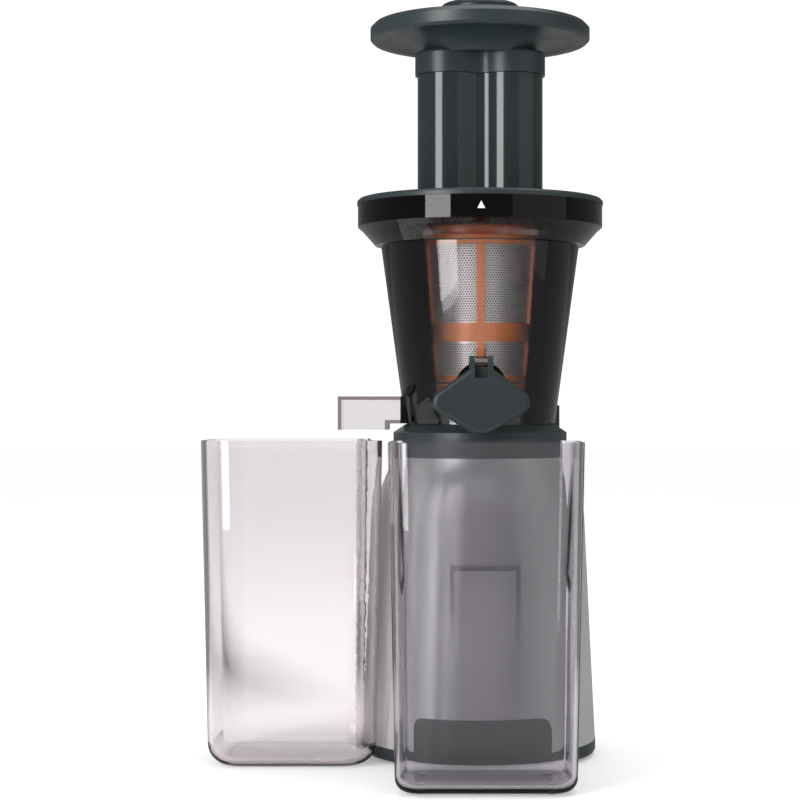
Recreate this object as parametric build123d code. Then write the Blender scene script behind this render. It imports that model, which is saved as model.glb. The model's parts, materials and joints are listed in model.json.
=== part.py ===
"""Slow juicer with a vertical pressing screw: base with geared motor, bowl with strainer and wiper,
lid with feed tube, pusher, spout cap, juice jug and pulp container.
Millimetres, +Z up, origin on the drive axis at the standing plane, spout towards -Y, pulp chute towards -X."""

import os
from math import acos, atan2, cos, hypot, pi, radians, sin, tan

from build123d import *

os.makedirs("parts", exist_ok=True)

# Base
base_bottom_radius = 66.0
base_waist_radius = 60.0
base_waist_height = 134.0
base_shoulder_radius = 55.4
base_shoulder_height = 156.0
collar_radius = 49.8
collar_low = 170.0
collar_high = 188.7
collar_chamfer_radius = 6.8
collar_chamfer_height = 4.6
collar_seat_radius = 40.0
collar_seat_depth = 4.7
plinth_low = 2.0
plinth_high = 9.0
plinth_tongue_width = 78.0
plinth_tongue_high = 28.5
plinth_tongue_corner = 7.0
plinth_thickness = 1.2
shell_wall = 2.5
cradle_rear_high = 207.0
cradle_front_high = 190.5
cradle_start = 20.0
cradle_end = 150.0
foot_height = 3.0
foot_outer_radius = 58.0
foot_inner_radius = 49.0
post_circle = 52.0
post_radius = 4.5

# Drive train
tooth_module = 1.05
pinion_teeth = 12
wheel_teeth = 42
gear_width = 8.0
gear_backlash = 0.16
pressure_angle = radians(25)
drive_shaft_radius = 5.0
drive_hex_flats = 8.6
drive_hex_low = 197.0
drive_shaft_high = 224.0
motor_shaft_radius = 3.0
motor_radius = 34.0
motor_low = 34.0
motor_high = 106.0
lay_pin_radius = 2.0
first_stage_low = 116.0
second_stage_low = 131.0
running_clearance = 0.05
gearbox_plate_radius = 47.0
gearbox_cover_radius = 50.0
pillar_circle = 43.0
pillar_radius = 3.0

# Bowl
bowl_low = 189.2
bowl_low_radius = 43.1
bowl_mid_height = 290.5
bowl_mid_radius = 56.8
bowl_flange_low = 301.6
bowl_high = 314.0
bowl_flange_radius = 70.2
bowl_wall = 3.0
bowl_floor_low = 199.0
bowl_floor_high = 201.0
hub_radius = 9.0
hub_bore_radius = 6.6
spout_height = 209.5
spout_outer_radius = 14.0
spout_bore_radius = 11.0
spout_reach = 62.0
chute_reach = 81.0
chute_width = 30.0
chute_high = 204.6
chute_wall = 2.0
chute_skirt_low = 185.6
chute_root = 45.4
spout_root = 48.6

# Strainer, wiper and screw
strainer_low = 213.0
strainer_high = 300.0
strainer_low_radius = 28.0
strainer_high_radius = 34.0
strainer_wall = 2.2
strainer_flange_radius = 40.6
strainer_windows = 5
strainer_bar_angle = 4.0
strainer_rows = [(216.5, 235.5), (246.0, 292.0)]
wiper_gap = 2.6
wiper_thickness = 2.5
wiper_module = 1.0
sun_teeth = 18
idler_teeth = 18
screw_gap = 0.8
screw_high = 303.0
screw_pin_radius = 3.0

# Lid and pusher
lid_radius = 70.6
lid_thickness = 3.4
lid_gap = 0.1
lid_skirt_radius = 65.5
feed_half_width = 35.75
feed_lobe_radius = 18.25
feed_front = 25.25
feed_back = 24.0
feed_valley = 6.0
feed_wall = 2.5
feed_high = 387.6
pusher_gap = 0.7
pusher_low = 321.0
pusher_collar_high = 401.0
pusher_disc_radius = 63.0
pusher_disc_low = 408.0
pusher_disc_high = 418.0
pusher_cap_radius = 23.0
total_height = 430.0

# Vessels
jug_width = 101.0
jug_depth = 71.0
jug_height = 180.5
jug_offset = 2.0
jug_gap = 3.0
jug_taper = 3.6
jug_wall = 2.4
jug_corner = 13.0
jug_foot = 1.2
grip_width = 33.0
grip_depth = 12.0
grip_low = 18.0
grip_high = 111.0
scoop_depth = 3.8
scoop_low = 99.0
scoop_start = 170.0
scoop_length = 24.0
panel_width = 54.0
panel_depth = 0.6
pulp_width = 100.7
pulp_depth = 87.0
pulp_height = 180.0
pulp_right = -54.6
pulp_front = -60.0
pulp_taper = 3.6
pulp_wall = 2.4
pulp_corner = 20.0
pulp_nest_gap = 2.5

# Spout cap and switch
cap_half_width = 26.5
cap_lobe_radius = 6.5
cap_lobe_height = 201.3
cap_low = 183.3
cap_pin_height = 223.6
cap_pin_radius = 1.25
cap_pin_reach = 66.5
cap_thickness = 5.0
switch_height = 100.0
switch_width = 22.0
switch_tall = 28.0

lay_offset = tooth_module * (pinion_teeth + wheel_teeth) / 2
idler_offset = wiper_module * (sun_teeth + idler_teeth) / 2
ring_teeth = sun_teeth + 2 * idler_teeth


def ring(outer, inner, low, high):
    """Flat ring about the drive axis."""
    return Pos(0, 0, low) * extrude(Circle(outer) - Circle(inner), high - low)


def disc(radius, low, high, x=0, y=0):
    """Round bar along Z."""
    return Pos(x, y, low) * extrude(Circle(radius), high - low)


def block(x0, x1, y0, y1, z0, z1):
    """Box from its limits."""
    return Pos((x0 + x1) / 2, (y0 + y1) / 2, (z0 + z1) / 2) * Box(x1 - x0, y1 - y0, z1 - z0)


def turned(points):
    """Solid of revolution about Z from (radius, height) points."""
    outline = Polyline(*points, close=True)
    return revolve(Plane.XZ * make_face(outline), Axis.Z)


def sector(radius, start, end, low, high):
    """Wedge about the drive axis between two angles in degrees."""
    middle = (start + end) / 2
    rim = [(radius * cos(radians(a)), radius * sin(radians(a))) for a in (start, middle, end)]
    outline = Line((0, 0), rim[0]) + ThreePointArc(*rim) + Line(rim[2], (0, 0))
    return Pos(0, 0, low) * extrude(make_face(outline), high - low)


def bar_y(radius, x, z, y0, y1):
    """Round bar along Y."""
    return Pos(x, y0, z) * (Rot(-90, 0, 0) * extrude(Circle(radius), y1 - y0))


def bar_x(radius, y, z, x0, x1):
    """Round bar along X."""
    return Pos(x0, y, z) * (Rot(0, 90, 0) * extrude(Circle(radius), x1 - x0))


def one(shape):
    """The shape itself, or its largest solid if a cut left crumbs."""
    solids = sorted(shape.solids(), key=lambda s: s.volume)
    return solids[-1]


def gear_outline(teeth, module, tip_rise, root_drop, widening, phase):
    """Involute gear outline; a tooth is centred at phase degrees."""
    pitch = module * teeth / 2
    base = pitch * cos(pressure_angle)
    half_tooth = (pi * module / 2 + widening) / (2 * pitch)

    def roll(radius):
        angle = acos(min(1.0, base / radius))
        return tan(angle) - angle

    def half_angle(radius):
        return half_tooth + roll(pitch) - roll(max(radius, base))

    tip = pitch + tip_rise
    root = pitch - root_drop
    start = max(root, base)
    flank = [root] + [start + (tip - start) * step / 4 for step in range(5)]
    if start == root:
        flank = flank[1:]
    points = []
    for tooth in range(teeth):
        centre = radians(phase) + 2 * pi * tooth / teeth
        rising = [(r, centre - half_angle(r)) for r in flank]
        falling = [(r, centre + half_angle(r)) for r in reversed(flank)]
        points += [(r * cos(a), r * sin(a)) for r, a in rising + falling]
    return make_face(Polyline(*points, close=True))


def spur_gear(teeth, module, width, low, phase, x=0, y=0):
    """External spur gear."""
    outline = gear_outline(teeth, module, 0.85 * module, 1.15 * module, -gear_backlash, phase)
    return Pos(x, y, low) * extrude(outline, width)


def gap_phase(teeth, direction):
    """Phase that puts a tooth gap in the given direction."""
    return direction + 180.0 / teeth


def base_radius_at(z):
    """Outer radius of the base shell between plinth and waist."""
    share = (z - plinth_high) / (base_waist_height - plinth_high)
    return base_bottom_radius + (base_waist_radius - base_bottom_radius) * share


def base_solid(inset, low):
    """Base outline turned about the axis, drawn in by inset."""
    foot = base_bottom_radius - inset
    waist = base_waist_radius - inset
    top = collar_radius - inset
    side = Line((foot, low), (waist, base_waist_height))
    shoulder = Spline(
        (waist, base_waist_height),
        (base_shoulder_radius - inset, base_shoulder_height),
        (top, collar_low),
        tangents=[(-0.05, 1), (-0.3, 1)],
    )
    closing = Polyline((top, collar_low), (0, collar_low), (0, low), (foot, low))
    return revolve(Plane.XZ * make_face(side + shoulder + closing), Axis.Z)


def bowl_radius_at(z):
    """Outer radius of the bowl's tapered wall."""
    share = (z - bowl_low) / (bowl_mid_height - bowl_low)
    return bowl_low_radius + (bowl_mid_radius - bowl_low_radius) * share


def strainer_radius_at(z):
    """Outer radius of the strainer's tapered wall."""
    share = (z - strainer_low) / (strainer_high - strainer_low)
    return strainer_low_radius + (strainer_high_radius - strainer_low_radius) * share


def cone(low, high, growth):
    """Solid cone that follows the strainer wall with a radial growth."""
    return turned([
        (0, low),
        (strainer_radius_at(low) + growth, low),
        (strainer_radius_at(high) + growth, high),
        (0, high),
    ])


def belt(circles):
    """Face inside a belt drawn tight round circles (x, y, radius) listed counterclockwise."""
    normals = []
    for (x0, y0, r0), (x1, y1, r1) in zip(circles, circles[1:] + circles[:1]):
        reach = hypot(x1 - x0, y1 - y0)
        normals.append(atan2(y1 - y0, x1 - x0) - acos((r0 - r1) / reach))
    outline = Curve()
    for index, (x, y, r) in enumerate(circles):
        start = normals[index - 1]
        end = normals[index]
        while end < start:
            end += 2 * pi
        following = circles[(index + 1) % len(circles)]

        def point(angle, circle):
            return circle[0] + circle[2] * cos(angle), circle[1] + circle[2] * sin(angle)

        rim = [point(angle, (x, y, r)) for angle in (start, (start + end) / 2, end)]
        outline += ThreePointArc(*rim)
        outline += Line(rim[2], point(end, following))
    return make_face(outline)


def kidney(growth):
    """Feed tube section: a bean of four tangent arcs, with a shallow valley in front."""
    lobe_x = feed_half_width - feed_lobe_radius
    lobe_y = feed_lobe_radius - feed_front
    back_rise = feed_back - feed_lobe_radius
    back_y = (lobe_x**2 + lobe_y**2 - back_rise**2) / (2 * (lobe_y - back_rise))
    valley_bottom = feed_valley - feed_front
    drop = lobe_y - valley_bottom
    valley_radius = (lobe_x**2 + drop**2 - feed_lobe_radius**2) / (2 * (feed_lobe_radius - drop))
    valley_y = valley_bottom - valley_radius
    radius = feed_lobe_radius + growth
    to_back = atan2(lobe_y - back_y, lobe_x)
    to_valley = atan2(valley_y - lobe_y, -lobe_x)

    def on_lobe(angle, side):
        return side * (lobe_x + radius * cos(angle)), lobe_y + radius * sin(angle)

    middle = (to_back + to_valley) / 2
    right = ThreePointArc(on_lobe(to_valley, 1), on_lobe(middle, 1), on_lobe(to_back, 1))
    back = ThreePointArc(on_lobe(to_back, 1), (0, feed_back + growth), on_lobe(to_back, -1))
    left = ThreePointArc(on_lobe(to_back, -1), on_lobe(middle, -1), on_lobe(to_valley, -1))
    front = ThreePointArc(on_lobe(to_valley, -1), (0, valley_bottom - growth), on_lobe(to_valley, 1))
    return make_face(right + back + left + front)


def kidney_prism(growth, low, high):
    """Straight length of the feed tube section."""
    return Pos(0, 0, low) * extrude(kidney(growth), high - low, dir=(0, 0, 1))


def rounded_tub(width, depth, corner, taper, low, high, inset, x, y):
    """Upright box with rounded corners that narrows towards its bottom."""
    shrink = taper * (1 - low / high)
    bottom = RectangleRounded(width - 2 * inset - 2 * shrink, depth - 2 * inset - 2 * shrink, corner - inset)
    top = RectangleRounded(width - 2 * inset, depth - 2 * inset, corner - inset)
    return loft([Pos(x, y, low) * bottom, Pos(x, y, high) * top])


# Base pieces


def make_base_shell():
    shell = base_solid(0, plinth_high) - base_solid(shell_wall, plinth_high - 1)
    shell += base_solid(0, plinth_high) & ring(collar_radius, collar_radius - 5, collar_low - 3, collar_low)
    opening = block(-switch_width / 2, switch_width / 2, 40, 80,
                    switch_height - switch_tall / 2, switch_height + switch_tall / 2)
    shell -= opening
    shell -= bar_y(7.0, 0, 24.0, 40, 80)
    return one(shell)


def make_plinth():
    outer = base_bottom_radius + 0.2
    body = turned([(outer - 2.4, plinth_low), (outer - 0.9, plinth_low), (outer, plinth_low + 1.5),
                   (outer, plinth_high), (outer - shell_wall, plinth_high), (outer - 3.4, plinth_high),
                   (outer - 3.4, plinth_high - 2), (outer - 2.4, plinth_high - 2)])
    skin_low = plinth_high
    skin = turned([(base_radius_at(skin_low), skin_low),
                   (base_radius_at(skin_low) + plinth_thickness, skin_low),
                   (base_radius_at(plinth_tongue_high) + plinth_thickness, plinth_tongue_high),
                   (base_radius_at(plinth_tongue_high), plinth_tongue_high)])
    middle = (plinth_low + plinth_tongue_high) / 2
    face = RectangleRounded(plinth_tongue_width, plinth_tongue_high - plinth_low, plinth_tongue_corner)
    window = Pos(0, -40, middle) * (Rot(90, 0, 0) * extrude(face, 60))
    foot = turned([(outer - 1, plinth_low + 1.5), (outer + plinth_thickness - 0.2, plinth_low + 1.5),
                   (outer + plinth_thickness - 0.2, plinth_high), (outer - 1, plinth_high)])
    return one(body + ((skin + foot) & window))


def make_collar():
    top_radius = collar_radius - collar_chamfer_radius
    seat = collar_high - collar_seat_depth
    body = turned([
        (drive_shaft_radius + 1.0, seat), (collar_seat_radius, seat), (collar_seat_radius, collar_high),
        (top_radius, collar_high), (collar_radius, collar_high - collar_chamfer_height),
        (collar_radius, collar_low), (collar_radius - shell_wall, collar_low),
        (collar_radius - shell_wall, seat - shell_wall - 0.5), (14.0, seat - 3.0),
        (14.0, collar_low), (11.0, collar_low), (11.0, seat - 4.0), (drive_shaft_radius + 1.0, seat - 4.0),
    ])
    wall = ring(collar_radius - 0.2, collar_radius - 3.2, collar_high - 8, cradle_rear_high)
    wall &= sector(collar_radius + 5, cradle_start, cradle_end, collar_high - 8, cradle_rear_high)
    slope = (cradle_rear_high - cradle_front_high) / (collar_radius + 20)
    run = 90.0
    high = cradle_rear_high + 20
    cut = Polyline((-20, cradle_front_high), (run - 20, cradle_front_high + slope * run),
                   (run - 20, high + 20), (-20, high + 20), close=True)
    cutter = Pos(-100, 0, 0) * extrude(Plane.YZ * make_face(cut), 200)
    return one(body + (wall - cutter))


def make_bottom_cover():
    cover = disc(base_bottom_radius - 3.4, foot_height, foot_height + 3)
    for post in range(4):
        angle = radians(45 + 90 * post)
        cover += disc(post_radius, foot_height + 2, 20, post_circle * cos(angle), post_circle * sin(angle))
    for x0 in (43.0, 46.4):
        cover += block(x0, x0 + 1.6, -18, 18, foot_height + 2, 16)
    for slot in range(7):
        y = -18 + 6 * slot
        cover -= block(-22, 22, y - 1.2, y + 1.2, foot_height - 1, foot_height + 4)
    cover += ring(motor_radius + 3.0, motor_radius + 0.3, foot_height + 2, motor_low + 4)
    cover += ring(motor_radius + 1.0, motor_radius - 4.0, motor_low - 3, motor_low)
    for post in range(4):
        angle = radians(45 + 90 * post)
        cover -= disc(1.6, foot_height - 1, 16, post_circle * cos(angle), post_circle * sin(angle))
    return one(cover)


def make_foot_ring():
    return ring(foot_outer_radius, foot_inner_radius, 0, foot_height) - ring(54.6, 52.4, -1, 1.0) \
        - cover_screw_wells()


def cover_screw_wells():
    wells = []
    for post in range(4):
        angle = radians(45 + 90 * post)
        wells.append(disc(3.6, -1, foot_height + 1, post_circle * cos(angle), post_circle * sin(angle)))
    return wells[0] + wells[1] + wells[2] + wells[3]


def make_cover_screws():
    screws = []
    for post in range(4):
        angle = radians(45 + 90 * post)
        x = post_circle * cos(angle)
        y = post_circle * sin(angle)
        screw = disc(3.2, foot_height - 1.9, foot_height, x, y) + disc(1.5, foot_height, 15, x, y)
        slot = block(x - 0.4, x + 0.4, y - 2.4, y + 2.4, foot_height - 2.5, foot_height - 1.2)
        cross = block(x - 2.4, x + 2.4, y - 0.4, y + 0.4, foot_height - 2.5, foot_height - 1.2)
        screws.append(screw - slot - cross)
    return Compound(screws)


def make_motor_can():
    can = disc(motor_radius, motor_low, motor_high) - disc(motor_radius - 1.5, motor_low + 1.5, motor_high - 1.5)
    can -= disc(motor_shaft_radius + 2.5, motor_low - 1, motor_high + 1)
    for vent in range(8):
        cutter = block(motor_radius - 8, motor_radius + 4, -3, 3, motor_low + 5, motor_low + 14)
        can -= Rot(0, 0, 22.5 + 45 * vent) * cutter
    return one(can)


def make_motor_stator():
    stator = ring(motor_radius - 1.5, 14.0, motor_low + 20, motor_high - 14)
    for slot in range(12):
        stator -= Rot(0, 0, 30 * slot) * block(10, 24, -1.6, 1.6, motor_low + 18, motor_high - 12)
    return one(stator)


def make_motor_coils():
    lower = ring(29.0, 17.5, motor_low + 14.5, motor_low + 20)
    upper = ring(29.0, 17.5, motor_high - 14, motor_high - 8.5)
    return Compound([one(lower), one(upper)])


def make_motor_bushes():
    low = ring(motor_shaft_radius + 2.5, motor_shaft_radius + running_clearance, motor_low - 0.5, motor_low + 3.5)
    high = ring(motor_shaft_radius + 2.5, motor_shaft_radius + running_clearance, motor_high - 3.5, motor_high + 0.5)
    return Compound([low, high])


def make_motor_shaft():
    return disc(motor_shaft_radius, motor_low - 20, first_stage_low + gear_width + 1)


def make_motor_rotor():
    return ring(11.0, motor_shaft_radius, motor_low + 26, motor_high - 22)


def make_cooling_fan():
    low = motor_low - 16
    fan = ring(6.0, motor_shaft_radius, low, low + 8)
    for blade in range(8):
        fan += Rot(0, 0, 45 * blade) * block(5, 26, -0.7, 0.7, low, low + 8)
    fan += ring(26.5, 5.0, low + 7, low + 8)
    return one(fan)


def make_motor_pinion():
    phase = gap_phase(pinion_teeth, 0)
    pinion = spur_gear(pinion_teeth, tooth_module, gear_width + 1, first_stage_low - 0.5, phase)
    return one(pinion - disc(motor_shaft_radius, 0, 200))


def make_lay_gear():
    phase = 180.0
    wheel = spur_gear(wheel_teeth, tooth_module, gear_width, first_stage_low, phase, lay_offset)
    for hole in range(5):
        angle = radians(36 + 72 * hole)
        radius = 12.5
        wheel -= disc(4.2, 0, 200, lay_offset + radius * cos(angle), radius * sin(angle))
    high = second_stage_low + gear_width + 1
    pinion = spur_gear(pinion_teeth, tooth_module, high - first_stage_low - gear_width,
                       first_stage_low + gear_width, 180 + 180.0 / pinion_teeth, lay_offset)
    gear = wheel + pinion
    return one(gear - disc(lay_pin_radius + running_clearance, 0, 200, lay_offset))


def make_lay_pin():
    return disc(lay_pin_radius, motor_high + 4.5, second_stage_low + gear_width + 7, lay_offset)


def make_gearbox_plate():
    low = motor_high + 4
    plate = disc(gearbox_plate_radius, low, low + 3) - disc(motor_shaft_radius + 4, low - 1, low + 4)
    plate -= disc(lay_pin_radius, low + 0.5, low + 4, lay_offset)
    plate += ring(20.0, 16.0, motor_high, low)
    for pillar in range(3):
        angle = radians(70 + 110 * pillar)
        top = second_stage_low + gear_width + 5
        plate += disc(pillar_radius, low, top, pillar_circle * cos(angle), pillar_circle * sin(angle))
    return one(plate)


def make_gearbox_cover():
    low = second_stage_low + gear_width + 5
    cover = disc(gearbox_cover_radius, low, low + 3)
    cover += disc(13.0, low, low + 9)
    cover -= disc(10.0, low + 2, low + 10)
    cover -= disc(drive_shaft_radius + 1, low - 1, low + 10)
    cover -= disc(lay_pin_radius, low - 1, low + 2, lay_offset)
    cover += disc(5.0, low + 2, low + 4, lay_offset)
    return one(cover)


def make_drive_bearings():
    low = second_stage_low + gear_width + 7
    seat = collar_high - collar_seat_depth
    lower = ring(10.0, drive_shaft_radius + running_clearance, low, low + 6)
    upper = ring(11.0, drive_shaft_radius + running_clearance, seat - 11, seat - 4)
    return Compound([lower, upper])


def make_shaft_seal():
    seat = collar_high - collar_seat_depth
    lip = ring(9.0, drive_shaft_radius + 0.08, seat, seat + 1.5)
    return one(lip + ring(drive_shaft_radius + 1.0, drive_shaft_radius + 0.08, seat - 3, seat + 1))


def make_drive_shaft():
    shaft = disc(drive_shaft_radius, second_stage_low - 2, drive_hex_low)
    hexagon = RegularPolygon(drive_hex_flats / 2, 6, major_radius=False)
    shaft += Pos(0, 0, drive_hex_low) * extrude(hexagon, drive_shaft_high - drive_hex_low)
    return one(shaft)


def make_drive_gear():
    wheel = spur_gear(wheel_teeth, tooth_module, gear_width, second_stage_low, 0)
    for hole in range(5):
        angle = radians(36 + 72 * hole)
        wheel -= disc(4.2, 0, 200, 13 * cos(angle), 13 * sin(angle))
    return one(wheel - disc(drive_shaft_radius, 0, 300))


def make_control_board():
    board = block(44.8, 46.2, -16, 16, 8, 84)
    board += block(38.5, 44.9, -12, 0, 26, 40)
    board += block(40.5, 44.9, 4, 13, 50, 66)
    return one(board)


def make_interlock_switch():
    seat = collar_high - collar_seat_depth - 3
    return one(block(-8, 8, 28, 36, seat - 9, seat) + block(-1.5, 1.5, 30.5, 33.5, seat - 10, seat - 9))


def make_cord_gland():
    radius = base_radius_at(24.0)
    gland = bar_y(7.0, 0, 24.0, radius - 9, radius + 1.0) + bar_y(9.0, 0, 24.0, radius + 0.6, radius + 3.0)
    return one(gland - bar_y(3.5, 0, 24.0, radius - 12, radius + 6))


def make_switch_housing():
    radius = base_radius_at(switch_height)
    low = switch_height - switch_tall / 2
    high = switch_height + switch_tall / 2
    half = switch_width / 2
    body = block(-half, half, radius - 14, radius + 2.4, low, high)
    flange = block(-half - 1.5, half + 1.5, radius + 0.9, radius + 2.4, low - 1.5, high + 1.5)
    hollow = block(-half + 1.5, half - 1.5, radius - 12, radius + 5, low + 1.5, high - 1.5)
    body = body + flange - hollow
    return one(body - bar_x(1.2, radius - 4, switch_height, -half + 0.4, half - 0.4))


def make_switch_pin():
    radius = base_radius_at(switch_height)
    return bar_x(1.2, radius - 4, switch_height, -switch_width / 2 + 0.4, switch_width / 2 - 0.4)


def make_switch_rocker():
    radius = base_radius_at(switch_height)
    half = switch_width / 2 - 2.0
    tall = switch_tall / 2 - 3.4
    body = block(-half, half, radius - 8, radius + 2.6, switch_height - tall, switch_height + tall)
    dish = bar_x(46.0, radius + 2.6 + 45.0, switch_height, -half - 1, half + 1)
    return one(body - dish - bar_x(1.25, radius - 4, switch_height, -20, 20))


# Bowl pieces


def bowl_moulding():
    """Bowl with its outlets; the outlets are then parted off as pieces of their own."""
    top_inner = bowl_flange_radius - bowl_wall
    outer = turned([
        (0, bowl_low), (bowl_low_radius, bowl_low), (bowl_mid_radius, bowl_mid_height),
        (bowl_mid_radius + 3.4, bowl_mid_height + 0.6), (bowl_flange_radius - 3.0, bowl_flange_low - 2.6),
        (bowl_flange_radius, bowl_flange_low), (bowl_flange_radius, bowl_high), (0, bowl_high),
    ])
    inner = turned([
        (0, bowl_floor_high), (bowl_radius_at(bowl_floor_high) - bowl_wall, bowl_floor_high),
        (bowl_mid_radius - bowl_wall, bowl_mid_height + 2.6), (top_inner - 4.0, bowl_flange_low - 0.8),
        (top_inner, bowl_flange_low + 0.6), (top_inner, bowl_high + 1), (0, bowl_high + 1),
    ])
    under = turned([
        (0, bowl_low - 1), (bowl_low_radius - bowl_wall, bowl_low - 1),
        (bowl_radius_at(bowl_floor_low) - bowl_wall, bowl_floor_low), (0, bowl_floor_low),
    ])
    bowl = outer - inner - under
    for groove in range(3):
        height = bowl_flange_low + 3.0 + 3.0 * groove
        bowl -= ring(bowl_flange_radius + 1, bowl_flange_radius - 0.5, height, height + 0.7)
    bowl += ring(hub_radius, 1.0, bowl_low - 3.0, bowl_floor_high)
    bowl += ring(collar_seat_radius - 0.4, collar_seat_radius - 2.6, bowl_low - 4.0, bowl_floor_low)
    guide = strainer_low_radius + wiper_gap + wiper_thickness + 0.4
    bowl += ring(guide + 1.8, guide, bowl_floor_high - 0.5, bowl_floor_high + 4.0)
    bowl = add_chute(bowl)
    bowl = add_spout(bowl)
    bowl = add_lid_catches(bowl)
    bowl += disc(lay_pin_radius + 1.6, bowl_floor_high - 0.5, bowl_floor_high + 0.8, 0, idler_offset)
    bowl -= disc(lay_pin_radius, bowl_floor_low + 0.5, bowl_floor_high + 3, 0, idler_offset)
    bowl -= disc(hub_bore_radius, bowl_low - 8, bowl_floor_high + 1)
    return one(bowl)


def chute_region():
    return block(-chute_reach - 1, -chute_root, -chute_width, chute_width, chute_skirt_low - 1, chute_high + 1)


def spout_region():
    half = spout_outer_radius + 1
    return block(-half, half, -cap_pin_reach - 5, -spout_root, spout_height - half, cap_pin_height + 4)


def make_bowl():
    return one(bowl_moulding() - chute_region() - spout_region())


def make_pulp_chute():
    return one(bowl_moulding() & chute_region())


def make_juice_spout():
    return one(bowl_moulding() & spout_region())


def add_chute(bowl):
    """Pulp port inside the strainer's foot, and the duct that leads it out to the left."""
    half = chute_width / 2
    outside = bowl_low_radius - 2.0
    end = -chute_reach
    duct = block(end, -8, -half, half, bowl_low, bowl_floor_low + 0.5)
    hood = block(end, -outside, -half, half, bowl_low, chute_high)
    skirt = block(end, -collar_radius - 2.5, -half, half, chute_skirt_low, bowl_low + 1)
    port_outer = sector(60, 138, 222, bowl_floor_low, strainer_low - 0.2) & ring(25.2, 11.2, 100, 300)
    port_inner = sector(60, 145, 215, bowl_low + chute_wall, strainer_low + 1) & ring(23.7, 12.7, 100, 300)
    inner_half = half - chute_wall
    bore = block(end + chute_wall, -10.4, -inner_half, inner_half, bowl_low + chute_wall, bowl_floor_low)
    hood_bore = block(end + chute_wall, -outside - 3.5, -inner_half, inner_half,
                      bowl_low + chute_wall, chute_high - chute_wall)
    mouth = block(end + chute_wall, -collar_radius - 4.5, -inner_half, inner_half,
                  chute_skirt_low - 1, bowl_low + 5)
    return bowl + duct + hood + skirt + port_outer - bore - hood_bore - mouth - port_inner


def add_spout(bowl):
    """Juice outlet tube in front, and the lug that carries the cap's pin."""
    start = bowl_radius_at(spout_height) - bowl_wall + 0.5
    bowl += bar_y(spout_outer_radius, 0, spout_height, -spout_reach, -start)
    bowl -= bar_y(spout_bore_radius, 0, spout_height, -spout_reach - 1, -start + 6)
    lug = block(-3.2, 3.2, -cap_pin_reach, -spout_reach + 3, cap_pin_height - 1.6, cap_pin_height + 2.4)
    lug += bar_x(2.4, -cap_pin_reach, cap_pin_height, -3.2, 3.2)
    bowl += lug
    bowl -= bar_x(cap_pin_radius, -cap_pin_reach, cap_pin_height, -10, 10)
    return bowl


def add_lid_catches(bowl):
    """Four lips that hold the lid's lugs down when the lid is turned home."""
    inner = bowl_flange_radius - bowl_wall
    for lip in range(4):
        middle = 45 + 90 * lip
        catch = sector(inner + 1, middle - 18, middle + 18, bowl_high - 4.4, bowl_high - 2.0)
        bowl += catch - disc(inner - 1.2, 0, 400)
    return bowl


def make_bowl_seal():
    return ring(hub_bore_radius, drive_shaft_radius + 0.06, bowl_low - 3.0, bowl_floor_low - 4)


def make_cap_pin():
    return bar_x(cap_pin_radius, -cap_pin_reach, cap_pin_height, -6.2, 6.2)


def make_idler_pin():
    return disc(lay_pin_radius, bowl_floor_low + 0.5, strainer_low - 1.2, 0, idler_offset)


def make_idler_gear():
    gear = spur_gear(idler_teeth, wiper_module, 8.0, bowl_floor_high + 1.2, 90, 0, idler_offset)
    return one(gear - disc(lay_pin_radius + running_clearance, 0, 400, 0, idler_offset))


def make_wiper_frame():
    low = bowl_floor_high + 0.6
    ring_high = strainer_low - 1.2
    outer = strainer_low_radius + wiper_gap + wiper_thickness
    cut = gear_outline(ring_teeth, wiper_module, 1.15 * wiper_module, 0.85 * wiper_module, gear_backlash, 90)
    frame = disc(outer, low, ring_high) - Pos(0, 0, low - 1) * extrude(cut, 20)
    top = strainer_high - 6.0
    cage = cone(ring_high - 3, top, wiper_gap + wiper_thickness) - cone(ring_high - 4, top + 1, wiper_gap)
    for arm in (0, 180):
        frame += cage & sector(90, arm - 7, arm + 7, ring_high - 3, top)
    frame += cone(top - 4, top, wiper_gap + wiper_thickness) - cone(top - 5, top + 1, wiper_gap)
    return one(frame)


def make_wiper_blades():
    high = strainer_high - 11.0
    low = strainer_low + 4
    strip = cone(low, high, wiper_gap) - cone(low - 1, high + 1, 0.3)
    blades = [one(strip & sector(90, arm - 2, arm + 2, low, high)) for arm in (0, 180)]
    return Compound(blades)


def window_cutters():
    """Window openings: an upper and a lower row, with upright bars between them."""
    pitch = 360 / strainer_windows
    for low, high in strainer_rows:
        for window in range(strainer_windows):
            start = pitch * window - 90
            yield sector(90, start + strainer_bar_angle, start + pitch - strainer_bar_angle, low, high)


def make_strainer_frame():
    cup = cone(strainer_low, strainer_high - 3, 0) - cone(strainer_low + 2.4, strainer_high, -strainer_wall)
    for cutter in window_cutters():
        cup -= cutter
    floor_guard = disc(strainer_low_radius - 1, strainer_low, strainer_low + 2.4)
    cup += floor_guard
    flange_inner = strainer_radius_at(strainer_high - 3) - strainer_wall
    cup += ring(strainer_flange_radius, flange_inner, strainer_high - 3, strainer_high)
    cup += ring(strainer_flange_radius, strainer_flange_radius - 2.0, strainer_high - 1, strainer_high + 4)
    cup -= disc(wiper_module * sun_teeth / 2 + 1.5, strainer_low - 1, strainer_low + 5)
    cup -= sector(60, 145, 215, strainer_low - 1, strainer_low + 5) & ring(23.7, 12.7, 100, 300)
    return one(cup)


def make_strainer_mesh():
    low = strainer_low + 2.6
    high = strainer_high - 6.4
    sheet = cone(low, high, -strainer_wall) - cone(low - 1, high + 1, -strainer_wall - 0.4)
    return one(sheet)


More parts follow.
